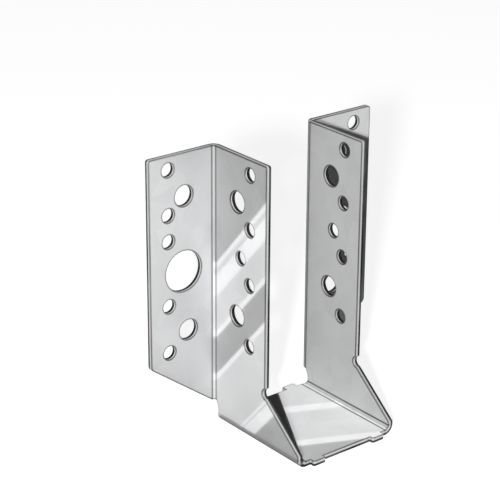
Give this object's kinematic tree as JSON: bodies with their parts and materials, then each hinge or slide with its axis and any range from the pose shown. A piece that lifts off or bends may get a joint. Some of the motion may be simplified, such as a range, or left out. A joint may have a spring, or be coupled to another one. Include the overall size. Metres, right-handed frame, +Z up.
{
  "type": "joist hanger",
  "caption": "Folded galvanised steel joist hanger: side plates with gussets on a flat seat, outward flanges, punched nail, screw and anchor holes.",
  "frame": {"origin": "underside of the seat, midway across the pocket and midway along the sheet's depth", "axes": "+X across the joist, +Y from the joist towards the header beam, +Z up"},
  "size_m": [0.099, 0.0508, 0.105],
  "materials": {
    "sheet": "hot-dip galvanised, satin"
  },
  "bodies": {
    "root": {"hanger": "sheet"}
  },
  "joints": []
}
